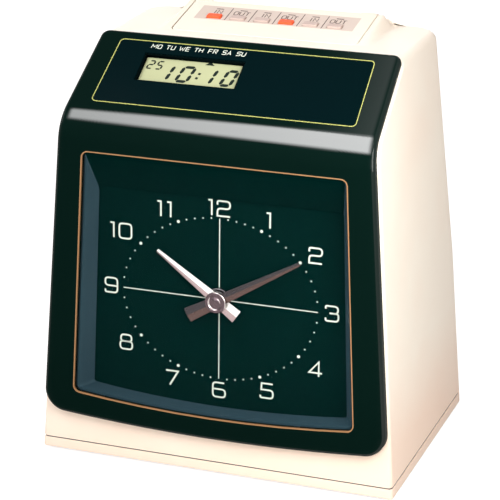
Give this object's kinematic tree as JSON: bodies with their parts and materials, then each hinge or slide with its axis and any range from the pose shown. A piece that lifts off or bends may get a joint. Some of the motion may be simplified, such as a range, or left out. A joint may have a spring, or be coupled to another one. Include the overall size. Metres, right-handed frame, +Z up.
{
  "type": "electronic time clock",
  "caption": "Desktop electronic time clock with an analogue dial in a dark folded front, a sloped display, and a raised card throat with column keys.",
  "frame": {"origin": "on the table, under the middle of the clock's overall box", "axes": "+Z up, the front with the dial faces -Y, +X to the right as one faces it"},
  "size_m": [0.212, 0.1558, 0.2418],
  "materials": {
    "cream_plastic": "fine moulded texture, satin",
    "rubber": "matt",
    "dark_bezel": "fine-grained satin gloss",
    "clear_window": "clear, polished",
    "gold_line": "satin gold print",
    "surround_grey": "satin",
    "dial_green": "matt print",
    "panel_gloss": "polished",
    "yellow_line": "satin print",
    "lcd_glass": "satin polariser",
    "circuit_board": "solder mask",
    "label_grey": "matt film",
    "key_orange": "satin",
    "key_grey": "satin",
    "black_plastic": "moulded",
    "hand_metal": "brushed, bevelled",
    "hub_chrome": "polished",
    "brass": "machined",
    "movement_plastic": "moulded",
    "steel": "plated sheet",
    "core_iron": "varnished laminations",
    "battery_wrap": "shrink wrap"
  },
  "bodies": {
    "housing": {"base_tray": "cream_plastic", "rubber_feet": "rubber", "upper_case": "cream_plastic", "front_bezel": "dark_bezel", "dial_window": "clear_window", "dial_trim": "gold_line", "dial_surround": "surround_grey", "dial_plate": "dial_green", "display_panel": "panel_gloss", "display_trim": "yellow_line", "lcd_module": "lcd_glass", "display_board": "circuit_board", "throat_cover": "cream_plastic", "key_panel": "label_grey", "key_board": "circuit_board", "key_switches": "black_plastic", "centre_nut": "hub_chrome", "movement_plate": "brass", "movement_case": "movement_plastic", "minute_wheel_stud": "steel", "pulse_motor": "steel", "chassis": "steel", "print_cheeks": "steel", "chute_front": "steel", "chute_back": "steel", "guide_rods": "steel", "platen": "black_plastic", "lift_rod": "steel", "lift_bracket": "steel", "main_board": "circuit_board", "board_parts": "black_plastic", "transformer": "core_iron", "backup_battery": "battery_wrap", "power_inlet": "black_plastic", "lock_barrel": "steel", "lock_catch": "steel"},
    "minute": {"minute_hand": "hand_metal", "hub_cap": "hub_chrome", "minute_arbor": "brass"},
    "hour": {"hour_hand": "hand_metal", "hour_wheel": "brass"},
    "motion_wheel": {"minute_wheel": "brass"},
    "motor_rotor": {"motor_pinion": "steel"},
    "carriage": {"print_carriage": "black_plastic", "print_head": "steel", "ribbon_cassette": "black_plastic"},
    "lift": {"card_lift": "black_plastic"},
    "lock": {"lock_plug": "brass", "lock_cam": "steel"},
    "button_1": {"key_1": "key_orange"},
    "button_2": {"key_2": "key_grey"},
    "button_3": {"key_3": "key_grey"},
    "button_4": {"key_4": "key_orange"},
    "button_5": {"key_5": "key_grey"},
    "button_6": {"key_6": "key_grey"}
  },
  "joints": [
    {"name": "minute_turn", "type": "hinge", "parent": "housing", "child": "minute", "pos_m": [0, -0.06865, 0.10235], "axis": [0, 0.9985, -0.0541], "continuous": true},
    {"name": "hour_turn", "type": "hinge", "parent": "housing", "child": "hour", "pos_m": [0, -0.06865, 0.10235], "axis": [0, 0.9985, -0.0541], "continuous": true},
    {"name": "wheel_turn", "type": "hinge", "parent": "housing", "child": "motion_wheel", "pos_m": [0, -0.06929, 0.09037], "axis": [0, 0.9985, -0.0541], "continuous": true},
    {"name": "rotor_turn", "type": "hinge", "parent": "housing", "child": "motor_rotor", "pos_m": [0.0175, -0.06865, 0.10235], "axis": [0, 0.9985, -0.0541], "continuous": true},
    {"name": "key_1_press", "type": "slide", "parent": "housing", "child": "button_1", "axis": [0, -0.1898, 0.9818], "range_m": [-0.0008, 0], "stiffness_N_per_m": 600},
    {"name": "key_2_press", "type": "slide", "parent": "housing", "child": "button_2", "axis": [0, -0.1898, 0.9818], "range_m": [-0.0008, 0], "stiffness_N_per_m": 600},
    {"name": "key_3_press", "type": "slide", "parent": "housing", "child": "button_3", "axis": [0, -0.1898, 0.9818], "range_m": [-0.0008, 0], "stiffness_N_per_m": 600},
    {"name": "key_4_press", "type": "slide", "parent": "housing", "child": "button_4", "axis": [0, -0.1898, 0.9818], "range_m": [-0.0008, 0], "stiffness_N_per_m": 600},
    {"name": "key_5_press", "type": "slide", "parent": "housing", "child": "button_5", "axis": [0, -0.1898, 0.9818], "range_m": [-0.0008, 0], "stiffness_N_per_m": 600},
    {"name": "key_6_press", "type": "slide", "parent": "housing", "child": "button_6", "axis": [0, -0.1898, 0.9818], "range_m": [-0.0008, 0], "stiffness_N_per_m": 600},
    {"name": "carriage_slide", "type": "slide", "parent": "housing", "child": "carriage", "axis": [1, 0, 0], "range_m": [-0.03, 0.03]},
    {"name": "lift_slide", "type": "slide", "parent": "housing", "child": "lift", "axis": [0, 0, 1], "range_m": [0, 0.036]},
    {"name": "lock_turn", "type": "hinge", "parent": "housing", "child": "lock", "pos_m": [-0.034, 0.07792, 0.064], "axis": [0, 1, 0], "range_deg": [0, 90]}
  ],
  "couplings": [
    {"joint": "hour_turn", "follows": "minute_turn", "ratio": 0.083333},
    {"joint": "wheel_turn", "follows": "minute_turn", "ratio": -0.33333},
    {"joint": "rotor_turn", "follows": "minute_turn", "ratio": -6}
  ]
}
